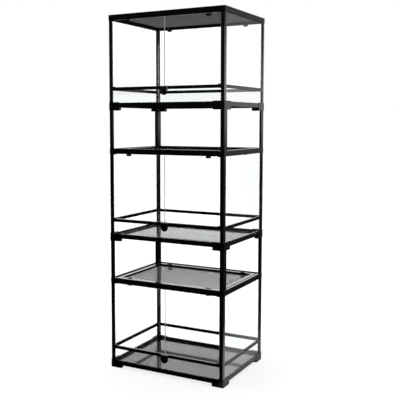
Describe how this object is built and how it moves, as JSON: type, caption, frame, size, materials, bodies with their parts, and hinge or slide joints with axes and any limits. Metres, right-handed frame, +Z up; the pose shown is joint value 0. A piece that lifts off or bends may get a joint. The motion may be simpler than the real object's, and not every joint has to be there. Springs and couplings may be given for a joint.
{
  "type": "stacked reptile terrarium",
  "caption": "Stack of glass reptile terrariums with black frames, front double doors, locks, screen lids and clips, on open spacer legs.",
  "frame": {"origin": "centre of the footprint on the floor, level with the undersides of the lowest feet", "axes": "+Z up, +X to the right of someone facing the doors, -Y out of the doors"},
  "size_m": [0.6132, 0.4714, 1.714],
  "materials": {
    "frame_plastic": "gloss",
    "lock_plastic": "gloss",
    "clip_plastic": "satin",
    "clear_glass": "polished",
    "dark_glass": "polished",
    "lid_metal": "satin",
    "screen_metal": "satin"
  },
  "bodies": {
    "cabinet": {"base_frame_lower": "frame_plastic", "corner_feet_lower": "frame_plastic", "floor_glass_lower": "dark_glass", "corner_posts_lower": "frame_plastic", "sill_rails_lower": "frame_plastic", "top_frame_lower": "frame_plastic", "wall_glass_lower": "clear_glass", "lock_body_lower": "lock_plastic", "base_frame_middle": "frame_plastic", "corner_feet_middle": "frame_plastic", "floor_glass_middle": "dark_glass", "corner_posts_middle": "frame_plastic", "sill_rails_middle": "frame_plastic", "top_frame_middle": "frame_plastic", "wall_glass_middle": "clear_glass", "lock_body_middle": "lock_plastic", "base_frame_upper": "frame_plastic", "corner_feet_upper": "frame_plastic", "floor_glass_upper": "dark_glass", "corner_posts_upper": "frame_plastic", "sill_rails_upper": "frame_plastic", "top_frame_upper": "frame_plastic", "wall_glass_upper": "clear_glass", "lock_body_upper": "lock_plastic", "spacer_legs_lower": "frame_plastic", "spacer_legs_upper": "frame_plastic"},
    "left_door_lower": {"left_door_glass_lower": "clear_glass", "left_door_hinges_lower": "frame_plastic"},
    "right_door_lower": {"right_door_glass_lower": "clear_glass", "right_door_hinges_lower": "frame_plastic"},
    "lock_lower": {"lock_knob_lower": "lock_plastic"},
    "lid_lower": {"lid_frame_lower": "lid_metal", "lid_mesh_lower": "screen_metal"},
    "clip_front_left_lower": {"clip_front_left_lower": "clip_plastic"},
    "clip_front_right_lower": {"clip_front_right_lower": "clip_plastic"},
    "clip_rear_left_lower": {"clip_rear_left_lower": "clip_plastic"},
    "clip_rear_right_lower": {"clip_rear_right_lower": "clip_plastic"},
    "left_door_middle": {"left_door_glass_middle": "clear_glass", "left_door_hinges_middle": "frame_plastic"},
    "right_door_middle": {"right_door_glass_middle": "clear_glass", "right_door_hinges_middle": "frame_plastic"},
    "lock_middle": {"lock_knob_middle": "lock_plastic"},
    "lid_middle": {"lid_frame_middle": "lid_metal", "lid_mesh_middle": "screen_metal"},
    "clip_front_left_middle": {"clip_front_left_middle": "clip_plastic"},
    "clip_front_right_middle": {"clip_front_right_middle": "clip_plastic"},
    "clip_rear_left_middle": {"clip_rear_left_middle": "clip_plastic"},
    "clip_rear_right_middle": {"clip_rear_right_middle": "clip_plastic"},
    "left_door_upper": {"left_door_glass_upper": "clear_glass", "left_door_hinges_upper": "frame_plastic"},
    "right_door_upper": {"right_door_glass_upper": "clear_glass", "right_door_hinges_upper": "frame_plastic"},
    "lock_upper": {"lock_knob_upper": "lock_plastic"},
    "lid_upper": {"lid_frame_upper": "lid_metal", "lid_mesh_upper": "screen_metal"},
    "clip_front_left_upper": {"clip_front_left_upper": "clip_plastic"},
    "clip_front_right_upper": {"clip_front_right_upper": "clip_plastic"},
    "clip_rear_left_upper": {"clip_rear_left_upper": "clip_plastic"},
    "clip_rear_right_upper": {"clip_rear_right_upper": "clip_plastic"}
  },
  "joints": [
    {"name": "left_door_hinge_lower", "type": "hinge", "parent": "cabinet", "child": "left_door_lower", "pos_m": [-0.278, -0.2189, 0.1095], "axis": [0, 0, -1], "range_deg": [0, 110]},
    {"name": "right_door_hinge_lower", "type": "hinge", "parent": "cabinet", "child": "right_door_lower", "pos_m": [0.278, -0.2189, 0.1095], "axis": [0, 0, 1], "range_deg": [0, 110]},
    {"name": "lock_turn_lower", "type": "hinge", "parent": "cabinet", "child": "lock_lower", "pos_m": [0, -0.2329, 0.1005], "axis": [0, 1, 0], "range_deg": [0, 180]},
    {"name": "lid_lift_lower", "type": "slide", "parent": "cabinet", "child": "lid_lower", "axis": [0, 0, 1], "range_m": [0, 0.12]},
    {"name": "clip_slide_front_left_lower", "type": "slide", "parent": "lid_lower", "child": "clip_front_left_lower", "axis": [0, -1, 0], "range_m": [0, 0.004]},
    {"name": "clip_slide_front_right_lower", "type": "slide", "parent": "lid_lower", "child": "clip_front_right_lower", "axis": [0, -1, 0], "range_m": [0, 0.004]},
    {"name": "clip_slide_rear_left_lower", "type": "slide", "parent": "lid_lower", "child": "clip_rear_left_lower", "axis": [0, 1, 0], "range_m": [0, 0.004]},
    {"name": "clip_slide_rear_right_lower", "type": "slide", "parent": "lid_lower", "child": "clip_rear_right_lower", "axis": [0, 1, 0], "range_m": [0, 0.004]},
    {"name": "left_door_hinge_middle", "type": "hinge", "parent": "cabinet", "child": "left_door_middle", "pos_m": [-0.278, -0.2189, 0.7415], "axis": [0, 0, -1], "range_deg": [0, 110]},
    {"name": "right_door_hinge_middle", "type": "hinge", "parent": "cabinet", "child": "right_door_middle", "pos_m": [0.278, -0.2189, 0.7415], "axis": [0, 0, 1], "range_deg": [0, 110]},
    {"name": "lock_turn_middle", "type": "hinge", "parent": "cabinet", "child": "lock_middle", "pos_m": [0, -0.2329, 0.7325], "axis": [0, 1, 0], "range_deg": [0, 180]},
    {"name": "lid_lift_middle", "type": "slide", "parent": "cabinet", "child": "lid_middle", "axis": [0, 0, 1], "range_m": [0, 0.12]},
    {"name": "clip_slide_front_left_middle", "type": "slide", "parent": "lid_middle", "child": "clip_front_left_middle", "axis": [0, -1, 0], "range_m": [0, 0.004]},
    {"name": "clip_slide_front_right_middle", "type": "slide", "parent": "lid_middle", "child": "clip_front_right_middle", "axis": [0, -1, 0], "range_m": [0, 0.004]},
    {"name": "clip_slide_rear_left_middle", "type": "slide", "parent": "lid_middle", "child": "clip_rear_left_middle", "axis": [0, 1, 0], "range_m": [0, 0.004]},
    {"name": "clip_slide_rear_right_middle", "type": "slide", "parent": "lid_middle", "child": "clip_rear_right_middle", "axis": [0, 1, 0], "range_m": [0, 0.004]},
    {"name": "left_door_hinge_upper", "type": "hinge", "parent": "cabinet", "child": "left_door_upper", "pos_m": [-0.278, -0.2189, 1.3735], "axis": [0, 0, -1], "range_deg": [0, 110]},
    {"name": "right_door_hinge_upper", "type": "hinge", "parent": "cabinet", "child": "right_door_upper", "pos_m": [0.278, -0.2189, 1.3735], "axis": [0, 0, 1], "range_deg": [0, 110]},
    {"name": "lock_turn_upper", "type": "hinge", "parent": "cabinet", "child": "lock_upper", "pos_m": [0, -0.2329, 1.3645], "axis": [0, 1, 0], "range_deg": [0, 180]},
    {"name": "lid_lift_upper", "type": "slide", "parent": "cabinet", "child": "lid_upper", "axis": [0, 0, 1], "range_m": [0, 0.12]},
    {"name": "clip_slide_front_left_upper", "type": "slide", "parent": "lid_upper", "child": "clip_front_left_upper", "axis": [0, -1, 0], "range_m": [0, 0.004]},
    {"name": "clip_slide_front_right_upper", "type": "slide", "parent": "lid_upper", "child": "clip_front_right_upper", "axis": [0, -1, 0], "range_m": [0, 0.004]},
    {"name": "clip_slide_rear_left_upper", "type": "slide", "parent": "lid_upper", "child": "clip_rear_left_upper", "axis": [0, 1, 0], "range_m": [0, 0.004]},
    {"name": "clip_slide_rear_right_upper", "type": "slide", "parent": "lid_upper", "child": "clip_rear_right_upper", "axis": [0, 1, 0], "range_m": [0, 0.004]}
  ]
}
